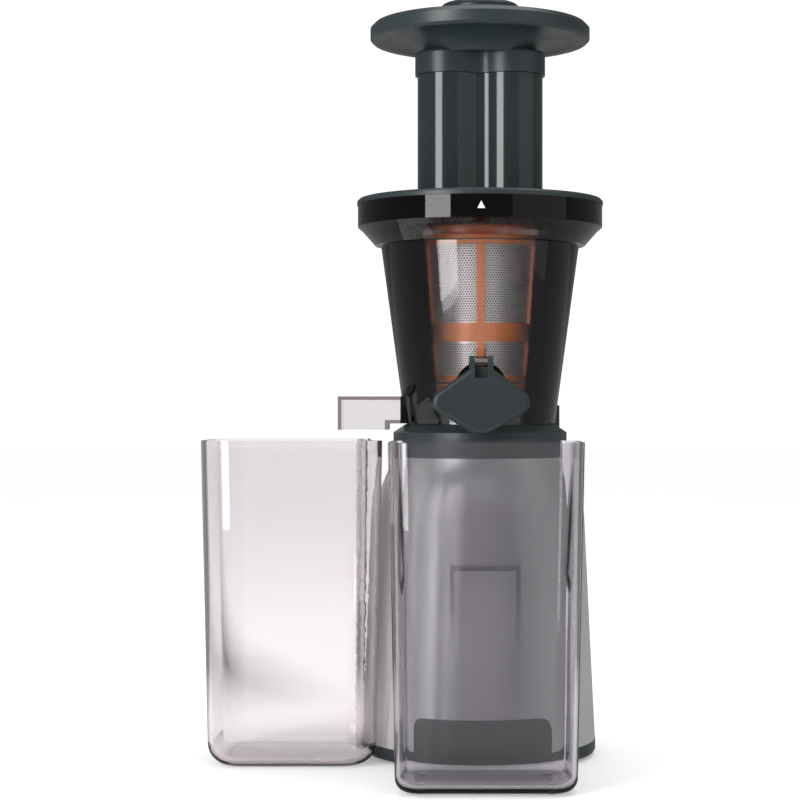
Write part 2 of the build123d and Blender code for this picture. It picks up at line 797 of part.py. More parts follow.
def make_screw():
    low = strainer_low + 3.4
    high = strainer_high - 4
    body = turned([(0, low - 0.8), (19.5, low - 0.8), (18.5, low + 20), (13.0, high - 12), (8.0, high + 1),
                   (0, high + 1)])
    wedge = make_face(Polyline((0, 0), (40, -7.8), (40, 7.8), close=True))
    twist = Solid.extrude_linear_with_rotation(wedge.faces()[0], (0, 0, 0), (0, 0, high - low), -620)
    flight = (Pos(0, 0, low) * twist) & cone(low - 1, high + 1, -strainer_wall - screw_gap)
    body = body + flight + Rot(0, 0, 180) * flight
    body += disc(6.0, high - 14, screw_high)
    body += disc(screw_pin_radius, screw_high - 1, screw_high + 6)
    neck_radius = wiper_module * (sun_teeth / 2 - 1)
    body += disc(neck_radius, bowl_floor_high + 1, low + 1)
    body += spur_gear(sun_teeth, wiper_module, 8.0, bowl_floor_high + 1.2, gap_phase(sun_teeth, 90))
    bore_high = drive_shaft_high + 3
    return one(body - disc(neck_radius - 1.2, 0, bore_high))


def make_screw_hub():
    radius = wiper_module * (sun_teeth / 2 - 1) - 1.2
    hub = disc(radius, bowl_floor_high + 1, drive_shaft_high + 3)
    hexagon = RegularPolygon(drive_hex_flats / 2 + 0.1, 6, major_radius=False)
    socket = Pos(0, 0, bowl_floor_high) * extrude(hexagon, drive_shaft_high + 1 - bowl_floor_high)
    return one(hub - socket)


def make_spout_cap():
    back = -cap_pin_reach - 1.4
    lobe_x = cap_half_width - cap_lobe_radius
    outline = belt([(lobe_x, cap_lobe_height, cap_lobe_radius), (0, 209, 12),
                    (-lobe_x, cap_lobe_height, cap_lobe_radius), (0, cap_low + 11, 11)])
    plate = Pos(0, back, 0) * (Rot(90, 0, 0) * extrude(outline, cap_thickness))
    plate = fillet(plate.faces().sort_by(Axis.Y)[0].edges(), 2.6)
    arm_half = 6.6
    arms = block(-arm_half, arm_half, back - 3.6, back, spout_height + 4, cap_pin_height)
    arms += bar_x(3.0, -cap_pin_reach, cap_pin_height, -arm_half, arm_half)
    cap = plate + arms
    cap -= block(-3.5, 3.5, back - 8, back + 12, spout_height + 5.0, cap_pin_height + 8)
    return one(cap - bar_x(cap_pin_radius + running_clearance, -cap_pin_reach, cap_pin_height, -20, 20))


def make_cap_gasket():
    back = -cap_pin_reach - 1.4
    plug = bar_y(spout_bore_radius - 0.5, 0, spout_height - 0.4, back, -spout_reach + 3)
    pad = bar_y(spout_bore_radius + 0.7, 0, spout_height - 0.6, back, -spout_reach - 0.4)
    return one(plug + pad)


# Lid and pusher pieces


def make_lid():
    low = bowl_high + lid_gap
    high = low + lid_thickness
    lid = turned([(0, low), (lid_radius, low), (lid_radius, high - 1.2), (lid_radius - 1.2, high), (0, high)])
    lid += ring(lid_skirt_radius, lid_skirt_radius - 2.4, low - 11, low + 0.5)
    lid += ring(strainer_flange_radius + 3.0, strainer_flange_radius + 0.8, strainer_high + 1, low + 0.5)
    for lug in range(4):
        middle = 45 + 90 * lug
        catch = sector(bowl_flange_radius - bowl_wall - 0.35, middle - 12, middle + 12,
                       bowl_high - 7.4, bowl_high - 4.6)
        lid += catch - disc(lid_skirt_radius - 1, 0, 400)
    lid -= kidney_prism(-feed_wall, low - 5, high + 1)
    bridge_low = screw_high + 1.2
    lid += block(-3.2, 3.2, -feed_front - 1, feed_back + 1, bridge_low + 3.5, high)
    lid += disc(6.8, bridge_low, high)
    return one(lid - disc(screw_pin_radius + running_clearance, 0, screw_high + 8.0))


def make_feed_tube():
    low = bowl_high + lid_gap + lid_thickness
    return one(kidney_prism(0, low, feed_high) - kidney_prism(-feed_wall, low - 1, feed_high + 1))


def make_lid_seal():
    high = bowl_high - 8.4
    return ring(bowl_flange_radius - bowl_wall - 0.35, lid_skirt_radius, high - 2.4, high)


def make_pusher():
    shaft = kidney_prism(-feed_wall - pusher_gap, pusher_low, pusher_collar_high)
    shaft -= kidney_prism(-feed_wall - pusher_gap - 2.2, pusher_low + 2.5, pusher_collar_high + 1)
    collar = kidney_prism(1.4, feed_high + lid_gap, pusher_collar_high)
    collar = fillet(collar.faces().sort_by(Axis.Z)[-1].edges(), 2.0)
    neck_low = pusher_collar_high - 2
    neck = Line((0, neck_low), (31, neck_low))
    flare = ThreePointArc((31, neck_low), (36, 405.2), (56, pusher_disc_low))
    rim = Polyline((56, pusher_disc_low), (pusher_disc_radius - 1.5, pusher_disc_low),
                   (pusher_disc_radius, pusher_disc_low + 1.5), (pusher_disc_radius, pusher_disc_high - 2.5),
                   (pusher_disc_radius - 2.5, pusher_disc_high), (pusher_cap_radius + 6, total_height - 5.5),
                   (pusher_cap_radius + 0.2, total_height - 4), (pusher_cap_radius + 0.2, total_height - 8),
                   (0, total_height - 8), (0, neck_low))
    head = revolve(Plane.XZ * make_face(neck + flare + rim), Axis.Z)
    head -= disc(20, neck_low - 1, total_height - 11)
    return one(shaft + collar + head - kidney_prism(-feed_wall - pusher_gap - 2.2, pusher_low + 2.5, neck_low + 1))


def make_pusher_cap():
    low = total_height - 8
    button = disc(pusher_cap_radius, low, total_height)
    return fillet(button.faces().sort_by(Axis.Z)[-1].edges(), 3.6)


# Vessels


def jug_recesses(back, grow):
    """Finger pocket in the rear wall and a scoop in each side, grown by the wall for the inner face."""
    half = grip_width / 2 + grow
    top = grip_high + grow
    pocket = make_face(Polyline((back + 5, top), (back - grip_depth - grow, top),
                                (back + 5, grip_low - 2 * grow), close=True))
    recesses = Pos(jug_offset - half, 0, 0) * extrude(Plane.YZ * pocket, 2 * half)

    def side_at(z):
        return jug_width / 2 - jug_taper * (1 - z / jug_height) - grow

    deep = side_at(grip_high) - scoop_depth
    lean = (side_at(scoop_start) - deep) / (scoop_start - grip_high)
    head = jug_height + 10
    scoop = make_face(Polyline((jug_width, head), (deep + lean * (head - grip_high), head), (deep, grip_high),
                               (side_at(scoop_low), scoop_low), (jug_width, scoop_low), close=True))
    right = extrude(Plane.XZ * scoop, scoop_length + grow + 5)
    right = Pos(0, back + 5, 0) * right
    recesses += Pos(jug_offset, 0, 0) * right
    recesses += Pos(jug_offset, 0, 0) * mirror(right, about=Plane.YZ)
    return recesses


def make_jug():
    y = -(base_bottom_radius + jug_gap + jug_depth / 2)
    back = y + jug_depth / 2
    low = jug_foot
    body = rounded_tub(jug_width, jug_depth, jug_corner, jug_taper, low, jug_height, 0, jug_offset, y)
    body = fillet(body.faces().sort_by(Axis.Z)[0].edges(), 7.0)
    hollow = rounded_tub(jug_width, jug_depth, jug_corner, jug_taper, low + jug_wall + 1, jug_height + 0.01,
                         jug_wall, jug_offset, y)
    hollow = fillet(hollow.faces().sort_by(Axis.Z)[0].edges(), 5.0)
    body = body - jug_recesses(back, 0) - (hollow - jug_recesses(back, jug_wall))
    panel_low = grip_high + 2
    lean = jug_taper * (1 - panel_low / jug_height)
    panel = make_face(Polyline((back + 5, panel_low), (back - lean - panel_depth, panel_low),
                               (back - panel_depth, jug_height), (back + 5, jug_height), close=True))
    body -= Pos(jug_offset - panel_width / 2, 0, 0) * extrude(Plane.YZ * panel, panel_width)
    for x in (-1, 1):
        for side in (-1, 1):
            body += disc(2.6, 0, low + 1.5, jug_offset + x * (jug_width / 2 - 17), y + side * (jug_depth / 2 - 17))
    return one(body)


def make_pulp_container():
    x = pulp_right - pulp_width / 2
    y = pulp_front + pulp_depth / 2
    nest = base_bottom_radius + pulp_nest_gap
    body = rounded_tub(pulp_width, pulp_depth, pulp_corner, pulp_taper, 0, pulp_height, 0, x, y)
    body = fillet(body.faces().sort_by(Axis.Z)[0].edges(), 12.0)
    body -= disc(nest, -1, pulp_height + 1)
    hollow = rounded_tub(pulp_width, pulp_depth, pulp_corner, pulp_taper, pulp_wall + 1, pulp_height + 0.01,
                         pulp_wall, x, y)
    hollow = fillet(hollow.faces().sort_by(Axis.Z)[0].edges(), 10.0)
    hollow -= disc(nest + pulp_wall, -1, pulp_height + 2)
    return one(body - hollow)


pieces = {
    "base_shell": make_base_shell,
    "base_plinth": make_plinth,
    "base_collar": make_collar,
    "bottom_cover": make_bottom_cover,
    "foot_ring": make_foot_ring,
    "cover_screws": make_cover_screws,
    "motor_can": make_motor_can,
    "motor_stator": make_motor_stator,
    "motor_coils": make_motor_coils,
    "motor_bushes": make_motor_bushes,
    "motor_shaft": make_motor_shaft,
    "motor_rotor": make_motor_rotor,
    "cooling_fan": make_cooling_fan,
    "motor_pinion": make_motor_pinion,
    "lay_gear": make_lay_gear,
    "lay_pin": make_lay_pin,
    "gearbox_plate": make_gearbox_plate,
    "gearbox_cover": make_gearbox_cover,
    "drive_bearings": make_drive_bearings,
    "shaft_seal": make_shaft_seal,
    "drive_shaft": make_drive_shaft,
    "drive_gear": make_drive_gear,
    "control_board": make_control_board,
    "interlock_switch": make_interlock_switch,
    "cord_gland": make_cord_gland,
    "switch_housing": make_switch_housing,
    "switch_pin": make_switch_pin,
    "switch_rocker": make_switch_rocker,
    "juice_bowl": make_bowl,
    "pulp_chute": make_pulp_chute,
    "juice_spout": make_juice_spout,
    "bowl_seal": make_bowl_seal,
    "cap_pin": make_cap_pin,
    "idler_pin": make_idler_pin,
    "idler_gear": make_idler_gear,
    "wiper_frame": make_wiper_frame,
    "wiper_blades": make_wiper_blades,
    "strainer_frame": make_strainer_frame,
    "strainer_mesh": make_strainer_mesh,
    "pressing_screw": make_screw,
    "screw_hub": make_screw_hub,
    "spout_cap": make_spout_cap,
    "cap_gasket": make_cap_gasket,
    "lid": make_lid,
    "feed_tube": make_feed_tube,
    "lid_seal": make_lid_seal,
    "pusher": make_pusher,
    "pusher_cap": make_pusher_cap,
    "juice_jug": make_jug,
    "pulp_container": make_pulp_container,
}

for name, make in pieces.items():
    export_step(make(), f"parts/{name}.step")
    print(name)
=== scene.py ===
import json
import math

import bpy
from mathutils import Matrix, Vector


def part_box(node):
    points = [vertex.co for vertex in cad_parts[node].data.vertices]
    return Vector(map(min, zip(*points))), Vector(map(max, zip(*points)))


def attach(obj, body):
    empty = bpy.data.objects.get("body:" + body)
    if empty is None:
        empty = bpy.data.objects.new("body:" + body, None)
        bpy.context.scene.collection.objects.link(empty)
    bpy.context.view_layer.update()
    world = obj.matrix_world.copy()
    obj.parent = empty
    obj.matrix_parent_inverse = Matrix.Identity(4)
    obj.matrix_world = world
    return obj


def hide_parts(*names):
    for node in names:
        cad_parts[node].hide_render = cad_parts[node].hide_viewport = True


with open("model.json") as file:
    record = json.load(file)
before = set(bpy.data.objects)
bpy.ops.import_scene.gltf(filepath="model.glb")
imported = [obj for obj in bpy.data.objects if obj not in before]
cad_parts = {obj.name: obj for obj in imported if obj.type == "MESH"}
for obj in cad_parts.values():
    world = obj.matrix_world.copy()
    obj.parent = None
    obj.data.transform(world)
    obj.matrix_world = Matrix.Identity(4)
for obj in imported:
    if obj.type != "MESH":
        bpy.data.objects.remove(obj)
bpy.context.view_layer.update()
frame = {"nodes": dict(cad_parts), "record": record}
nodes = frame["nodes"]
print("frame loaded:", len(nodes), "pieces")


def addNode(tree, kind, **settings):
    node = tree.nodes.new(kind)
    for key, value in settings.items():
        setattr(node, key, value)
    return node


# Puts a number, a colour or another node's output into a socket.
def feed(tree, socket, value):
    if isinstance(value, bpy.types.NodeSocket):
        tree.links.new(value, socket)
    elif isinstance(value, tuple):
        socket.default_value = (*value, 1)
    else:
        socket.default_value = value


def addMath(tree, operation, *values):
    node = addNode(tree, "ShaderNodeMath", operation=operation)
    for socket, value in zip(node.inputs, values):
        feed(tree, socket, value)
    return node.outputs[0]


# Gives the first value where the factor is 0 and the second where it is 1.
def mixValues(tree, factor, first, second, kind="FLOAT"):
    node = addNode(tree, "ShaderNodeMix", data_type=kind)
    for key, value in (("Factor", factor), ("A", first), ("B", second)):
        feed(tree, node.inputs[key], value)
    return node.outputs["Result"]


def mixColors(tree, factor, first, second):
    return mixValues(tree, factor, first, second, "RGBA")


def remap(tree, value, fromLow, fromHigh, toLow, toHigh):
    node = addNode(tree, "ShaderNodeMapRange")
    ends = {"From Min": fromLow, "From Max": fromHigh, "To Min": toLow, "To Max": toHigh}
    for key, number in ends.items():
        node.inputs[key].default_value = number
    feed(tree, node.inputs["Value"], value)
    return node.outputs["Result"]


def splitAxes(tree, vector):
    axes = addNode(tree, "ShaderNodeSeparateXYZ")
    feed(tree, axes.inputs[0], vector)
    return axes.outputs


# Noise in metres: size is the width of one speck, stretch squeezes it along an axis.
def addNoise(tree, place, size, detail=3.0, stretch=(1, 1, 1)):
    mapping = addNode(tree, "ShaderNodeMapping")
    mapping.inputs["Scale"].default_value = stretch
    feed(tree, mapping.inputs["Vector"], place)
    noise = addNode(tree, "ShaderNodeTexNoise")
    noise.inputs["Scale"].default_value = 1 / size
    noise.inputs["Detail"].default_value = detail
    feed(tree, noise.inputs["Vector"], mapping.outputs["Vector"])
    return noise.outputs["Fac"]


def addBump(tree, shader, heights, depth, strength):
    bump = addNode(tree, "ShaderNodeBump")
    bump.inputs["Strength"].default_value = strength
    bump.inputs["Distance"].default_value = depth
    feed(tree, bump.inputs["Height"], heights)
    feed(tree, shader.inputs["Normal"], bump.outputs["Normal"])


def scaled(color, share):
    return tuple(min(1.0, part * share) for part in color)


def startMaterial(name):
    material = bpy.data.materials.new(name)
    material.use_nodes = True
    tree = material.node_tree
    shader = tree.nodes["Principled BSDF"]
    place = addNode(tree, "ShaderNodeTexCoord").outputs["Object"]
    return material, tree, shader, place


# What every opaque plastic starts from. Lengths are in metres, edges are in pointiness.
plasticSkin = dict(cloudSize=0.03, variation=0.12,
                   edges=(0.53, 0.62), wear=0.25, wornShare=2.2,
                   smearSize=0.012, smearDetail=4.0, smearStretch=(1, 1, 0.35),
                   smearRange=(0.3, 0.7),
                   grainSize=0.0005, grainDetail=2.0, grainDepth=0.00003, grainStrength=0.5,
                   metallic=0.0, specular=0.5, coat=0.0, coatRoughness=0.08)


# Opaque plastic, rubber or lacquer: clouded colour, pale worn edges, smears and a fine grain.
def mouldedPlastic(name, changes):
    look = {**plasticSkin, **changes}
    material, tree, shader, place = startMaterial(name)
    cloud = addNoise(tree, place, look["cloudSize"])
    dark = scaled(look["color"], 1 - look["variation"])
    light = scaled(look["color"], 1 + look["variation"])
    color = mixColors(tree, cloud, dark, light)
    edges = addNode(tree, "ShaderNodeNewGeometry").outputs["Pointiness"]
    wear = remap(tree, edges, *look["edges"], 0.0, look["wear"])
    color = mixColors(tree, wear, color, scaled(look["color"], look["wornShare"]))
    feed(tree, shader.inputs["Base Color"], color)
    smear = addNoise(tree, place, look["smearSize"], look["smearDetail"], look["smearStretch"])
    roughness = remap(tree, smear, *look["smearRange"], *look["roughness"])
    feed(tree, shader.inputs["Roughness"], roughness)
    grain = addNoise(tree, place, look["grainSize"], look["grainDetail"])
    addBump(tree, shader, grain, look["grainDepth"], look["grainStrength"])
    shader.inputs["Metallic"].default_value = look["metallic"]
    shader.inputs["Specular IOR Level"].default_value = look["specular"]
    shader.inputs["Coat Weight"].default_value = look["coat"]
    shader.inputs["Coat Roughness"].default_value = look["coatRoughness"]
    return material


# What every brushed metal starts from. brush squeezes the lines along an axis.
metalSkin = dict(brush=(1, 1, 14), lineSize=0.0006, lineDepth=0.00002, lineStrength=0.4,
                 lineRange=(0.3, 0.7), lineShade=0.8, cloudSize=0.02, cloudShades=(0.85, 1.1))


# Metal with fine straight or turned brush lines.
def brushedMetal(name, changes):
    look = {**metalSkin, **changes}
    material, tree, shader, place = startMaterial(name)
    lines = addNoise(tree, place, look["lineSize"], stretch=look["brush"])
    cloud = addNoise(tree, place, look["cloudSize"])
    dark, light = (scaled(look["color"], share) for share in look["cloudShades"])
    color = mixColors(tree, cloud, dark, light)
    color = mixColors(tree, lines, scaled(look["color"], look["lineShade"]), color)
    feed(tree, shader.inputs["Base Color"], color)
    roughness = remap(tree, lines, *look["lineRange"], *look["roughness"])
    feed(tree, shader.inputs["Roughness"], roughness)
    addBump(tree, shader, lines, look["lineDepth"], look["lineStrength"])
    shader.inputs["Metallic"].default_value = 1.0
    return material


# What every clear plastic starts from.
clearSkin = dict(cloudSize=0.05, cloudDetail=2.0, cloudShade=0.97,
                 scuffSize=0.004, scuffDetail=6.0, scuffStretch=(1, 1, 0.2), scuffRange=(0.45, 0.8),
                 rippleSize=0.018, rippleDetail=2.0, rippleStretch=(1, 1, 0.3), rippleDepth=0.0003)


# Clear moulded plastic: tinted in the depth of the wall, with faint waves and scuffs on the skin.
def clearPlastic(name, changes, colorOf):
    look = {**clearSkin, **changes}
    material, tree, shader, place = startMaterial(name)
    shader.inputs["Transmission Weight"].default_value = 1.0
    shader.inputs["IOR"].default_value = look["ior"]
    cloud = addNoise(tree, place, look["cloudSize"], look["cloudDetail"])
    feed(tree, shader.inputs["Base Color"], colorOf(tree, place, cloud, look))
    scuffs = addNoise(tree, place, look["scuffSize"], look["scuffDetail"], look["scuffStretch"])
    roughness = remap(tree, scuffs, *look["scuffRange"], *look["roughness"])
    feed(tree, shader.inputs["Roughness"], roughness)
    ripple = addNoise(tree, place, look["rippleSize"], look["rippleDetail"], look["rippleStretch"])
    addBump(tree, shader, ripple, look["rippleDepth"], look["ripple"])
    depth = addNode(tree, "ShaderNodeVolumeAbsorption")
    depth.inputs["Color"].default_value = (*look["depthColor"], 1)
    depth.inputs["Density"].default_value = look["density"]
    feed(tree, tree.nodes["Material Output"].inputs["Volume"], depth.outputs["Volume"])
    return material


def evenTint(tree, place, cloud, look):
    return mixColors(tree, cloud, scaled(look["color"], look["cloudShade"]), look["color"])


# Dark smoke all round, apart from a clear window in front between two upright edges.
def windowTint(tree, place, cloud, look):
    axes = splitAxes(tree, place)
    forward = addMath(tree, "MULTIPLY", axes["Y"], -1)
    around = addMath(tree, "ARCTAN2", axes["X"], forward)
    offCentre = addMath(tree, "ABSOLUTE", around)
    edge = math.radians(look["windowHalf"])
    side = remap(tree, offCentre, edge, edge + look["edgeFade"], 1.0, 0.0)
    top = remap(tree, axes["Z"], look["windowTop"], look["windowTop"] + look["topFade"], 1.0, 0.0)
    window = addMath(tree, "MULTIPLY", side, top)
    dark, light = (scaled(look["smoke"], share) for share in look["smokeShades"])
    smoke = mixColors(tree, cloud, dark, light)
    return mixColors(tree, window, smoke, look["color"])


plastics = {
    "satin": dict(color=(0.019, 0.028, 0.031), roughness=(0.30, 0.40), grainSize=0.0007,
                  grainDepth=0.00001, wear=0.2),
    "polished": dict(color=(0.014, 0.021, 0.023), roughness=(0.09, 0.15), grainSize=0.0012,
                     grainDepth=0.00001, wear=0.1, coat=0.3),
    "silver": dict(color=(0.56, 0.57, 0.56), roughness=(0.30, 0.38), metallic=0.6, coat=0.25,
                   coatRoughness=0.15, grainSize=0.00025, grainDepth=0.000004, grainStrength=0.3,
                   variation=0.03, wear=0.1),
    "rubber": dict(color=(0.022, 0.022, 0.024), roughness=(0.65, 0.85), grainDepth=0.00006,
                   specular=0.3),
    "silicone": dict(color=(0.42, 0.43, 0.44), roughness=(0.45, 0.6), specular=0.4),
    "inner": dict(color=(0.018, 0.018, 0.02), roughness=(0.4, 0.6)),
    "gear": dict(color=(0.78, 0.76, 0.68), roughness=(0.35, 0.5)),
    "board": dict(color=(0.015, 0.12, 0.05), roughness=(0.3, 0.5), variation=0.3),
    "orange": dict(color=(0.80, 0.22, 0.045), roughness=(0.28, 0.4), grainDepth=0.00001, wear=0.1),
}

metals = {
    "steel": dict(color=(0.56, 0.57, 0.58), roughness=(0.22, 0.36)),
    "laminated": dict(color=(0.22, 0.23, 0.25), roughness=(0.3, 0.5), brush=(1, 1, 40)),
    "copper": dict(color=(0.72, 0.30, 0.14), roughness=(0.25, 0.4), brush=(12, 12, 1)),
    "rotor": dict(color=(0.6, 0.61, 0.63), roughness=(0.3, 0.45)),
    "bronze": dict(color=(0.45, 0.29, 0.13), roughness=(0.35, 0.5)),
}

# windowHalf is in degrees, edgeFade in radians, windowTop and topFade in metres.
clears = {
    "bowl": dict(color=(0.97, 0.95, 0.95), ior=1.47, roughness=(0.0, 0.015), ripple=0.10,
                 depthColor=(0.2, 0.1, 0.12), density=30.0, windowHalf=33, edgeFade=0.03,
                 windowTop=0.2965, topFade=0.003, smoke=(0.018, 0.018, 0.020),
                 smokeShades=(0.9, 1.1)),
    "outlet": dict(color=(0.96, 0.95, 0.95), ior=1.47, roughness=(0.0, 0.015), ripple=0.10,
                   depthColor=(0.2, 0.1, 0.12), density=55.0),
    "vessel": dict(color=(0.965, 0.955, 0.96), ior=1.45, roughness=(0.0, 0.012), ripple=0.08,
                   depthColor=(0.35, 0.15, 0.25), density=42.0),
    "jug": dict(color=(0.90, 0.885, 0.91), ior=1.45, roughness=(0.0, 0.012), ripple=0.08,
                depthColor=(0.20, 0.16, 0.20), density=90.0),
}

finishes = {
    "dark_plastic": mouldedPlastic("satinGreyGreen", plastics["satin"]),
    "gloss_dark_plastic": mouldedPlastic("polishedGreyGreen", plastics["polished"]),
    "silver_shell": mouldedPlastic("silverLacquer", plastics["silver"]),
    "foot_rubber": mouldedPlastic("blackRubber", plastics["rubber"]),
    "seal_silicone": mouldedPlastic("greySilicone", plastics["silicone"]),
    "inner_plastic": mouldedPlastic("mouldedBlack", plastics["inner"]),
    "gear_plastic": mouldedPlastic("naturalNylon", plastics["gear"]),
    "board_green": mouldedPlastic("boardGreen", plastics["board"]),
    "orange_plastic": mouldedPlastic("strainerOrange", plastics["orange"]),
    "steel": brushedMetal("brushedSteel", metals["steel"]),
    "laminated_steel": brushedMetal("laminatedSteel", metals["laminated"]),
    "copper_winding": brushedMetal("copperWinding", metals["copper"]),
    "rotor_aluminium": brushedMetal("castRotor", metals["rotor"]),
    "bronze_bush": brushedMetal("sinteredBronze", metals["bronze"]),
    "smoked_clear": clearPlastic("smokedClear", clears["bowl"], windowTint),
    "pale_clear": clearPlastic("paleClear", clears["vessel"], evenTint),
}
print("finishes made:", len(finishes))


# Each frame piece takes the finish of its slot. The spout, the chute and the jug have their own.
def dressFrame():
    for part in frame["record"]["subparts"]:
        piece = nodes[part["node"]]
        piece.data.materials.clear()
        piece.data.materials.append(finishes[part["material_slot"]])
    outletPlastic = clearPlastic("outletClear", clears["outlet"], evenTint)
    jugPlastic = clearPlastic("jugClear", clears["jug"], evenTint)
    nodes["pulp_chute"].data.materials[0] = outletPlastic
    nodes["juice_spout"].data.materials[0] = outletPlastic
    nodes["juice_jug"].data.materials[0] = jugPlastic
    print("materials set on", len(nodes), "frame pieces")


dressFrame()


def meshPiece(name, points, faces, material, body, smooth=True):
    mesh = bpy.data.meshes.new(name)
    mesh.from_pydata(points, [], faces)
    mesh.validate()
    mesh.update()
    piece = bpy.data.objects.new(name, mesh)
    bpy.context.scene.collection.objects.link(piece)
    mesh.materials.append(material)
    for face in mesh.polygons:
        face.use_smooth = smooth
    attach(piece, body)
    return piece


# The strainer's screen: a rolled steel sheet with rows of punched holes. Rows are its windows'
# heights, margin keeps the holes off their edges, inset holds the sheet inside its frame.
screen = dict(holePitch=0.00155, holeRadius=0.00050, thickness=0.0003, inset=0.00005,
              windows=5, barHalfAngle=4.0, rows=((0.2165, 0.2355), (0.246, 0.292)), margin=0.0006,
              look=dict(color=(0.74, 0.73, 0.74), roughness=(0.28, 0.42), metallic=0.45,
                        grainDepth=0.000004, wear=0.0))


# The heights and radii of a cone's two rims, from the points within rimDepth of its ends.
def coneOf(node, rimDepth=1e-4):
    low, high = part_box(node)
    rings = {"low": 0, "high": 0}
    for vertex in nodes[node].data.vertices:
        radius = math.hypot(vertex.co.x, vertex.co.y)
        if vertex.co.z < low.z + rimDepth:
            rings["low"] = max(rings["low"], radius)
        elif vertex.co.z > high.z - rimDepth:
            rings["high"] = max(rings["high"], radius)
    return low.z, high.z, rings["low"], rings["high"]


def inWindow(angle, z):
    step = 360 / screen["windows"]
    offCentre = abs((math.degrees(angle) + 90) % step - step / 2)
    if offCentre > step / 2 - screen["barHalfAngle"]:
        return False
    margin = screen["margin"]
    return any(low + margin < z < high - margin for low, high in screen["rows"])


# The sheet is a net of six-sided cells. A cell in a window has a six-sided hole in its middle.
def makeScreen():
    low, high, lowRadius, highRadius = coneOf("strainer_mesh")
    pitch = screen["holePitch"]
    hole = screen["holeRadius"]
    columns = round(2 * math.pi * (lowRadius + highRadius) / 2 / pitch)
    turn = 2 * math.pi / columns
    rise = pitch * math.sqrt(3) / 2
    rows = int((high - low) / rise) - 1
    side = pitch / math.sqrt(3)
    corners = [(0, side), (-0.5, side / 2), (-0.5, -side / 2),
               (0, -side), (0.5, -side / 2), (0.5, side / 2)]
    points, faces, known = [], [], {}

    def place(angle, z):
        share = (z - low) / (high - low)
        radius = lowRadius + (highRadius - lowRadius) * share - screen["inset"]
        return radius * math.cos(angle), radius * math.sin(angle), z

    def shared(column, z):  # neighbouring cells use the same corner point
        key = (round(column * 2) % (columns * 2), round(z / (side / 4)))
        if key not in known:
            known[key] = len(points)
            points.append(place(column * turn, z))
        return known[key]

    for row in range(rows):
        z = low + side + row * rise
        for column in range(columns):
            middle = column + (row % 2) / 2
            outer = [shared(middle + across, z + up) for across, up in corners]
            if not inWindow(middle * turn, z):
                faces.append(outer)
                continue
            inner = []
            for step in range(6):
                around = math.radians(90 + 60 * step)
                inner.append(len(points))
                across = hole * math.cos(around) / pitch
                points.append(place((middle + across) * turn, z + hole * math.sin(around)))
            for step in range(6):
                after = (step + 1) % 6
                faces.append((outer[step], outer[after], inner[after], inner[step]))
    steel = mouldedPlastic("screenSteel", screen["look"])
    piece = meshPiece("strainerScreen", points, faces, steel, "bowl")
    wall = piece.modifiers.new("wall", "SOLIDIFY")
    wall.thickness = screen["thickness"]
    wall.offset = -1
    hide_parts("strainer_mesh")
    print("screen made with", len(faces), "faces")


makeScreen()


# The arrow printed on the front of the bowl's flange. fromSeal reaches from the lid seal's outside
# to just in front of the flange, fromTop from the bowl's top down to the arrow's foot.
arrow = dict(width=0.0042, height=0.0040, lift=0.00012, thickness=0.00008, fromTop=0.0078,
             fromSeal=0.0034, look=dict(color=(0.8, 0.8, 0.8), roughness=(0.4, 0.5)))


def makeArrow():
    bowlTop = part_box("juice_bowl")[1].z
    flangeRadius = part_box("lid_seal")[1].x + arrow["fromSeal"]
    y = -flangeRadius - arrow["lift"]
    z = bowlTop - arrow["fromTop"]
    half = arrow["width"] / 2
    outline = [(-half, z), (half, z), (0, z + arrow["height"])]
    front = [(x, y, height) for x, height in outline]
    back = [(x, y + arrow["thickness"], height) for x, height in outline]
    faces = [(0, 1, 2), (5, 4, 3)]
    faces += [(a, a + 3, (a + 1) % 3 + 3, (a + 1) % 3) for a in range(3)]
    ink = mouldedPlastic("whiteInk", arrow["look"])
    meshPiece("flangeArrow", front + back, faces, ink, "bowl", smooth=False)
    print("arrow printed on the flange")


makeArrow()


viewpoint = dict(distance=1.150, eyeHeight=0.1997, aside=-0.0115,
                 focal=89.9, sensor=36, shiftX=-0.075, shiftY=0.00625)


def makeCamera():
    data = bpy.data.cameras.new("camera")
    data.lens = viewpoint["focal"]
    data.sensor_width = viewpoint["sensor"]
    data.shift_x = viewpoint["shiftX"]
    data.shift_y = viewpoint["shiftY"]
    camera = bpy.data.objects.new("camera", data)
    camera.location = (viewpoint["aside"], -viewpoint["distance"], viewpoint["eyeHeight"])
    camera.rotation_euler = (math.radians(90), 0, 0)
    bpy.context.scene.collection.objects.link(camera)
    bpy.context.scene.camera = camera


makeCamera()
print("camera placed")


# How near a direction is to one of the four sides: 1 along an axis, 0.7 half way between two.
# Also gives its distance from the upright axis.
def axisNearness(tree, vector):
    axes = splitAxes(tree, vector)
    across = addMath(tree, "ABSOLUTE", axes["X"])
    along = addMath(tree, "ABSOLUTE", axes["Y"])
    acrossSquare = addMath(tree, "POWER", across, 2.0)
    alongSquare = addMath(tree, "POWER", along, 2.0)
    away = addMath(tree, "SQRT", addMath(tree, "ADD", acrossSquare, alongSquare))
    notZero = addMath(tree, "ADD", away, 1e-6)
    larger = addMath(tree, "MAXIMUM", across, along)
    return addMath(tree, "DIVIDE", larger, notZero), away


# Strengths of the sky: white straight on, mirrored in glossy surfaces, matt on dull ones, and dim
# through the clear pieces half way between two axes. lobe is where dim turns to white.
sky = dict(white=1.05, mirrored=0.16, matt=0.75, dim=0.24, lobe=(0.86, 0.95))


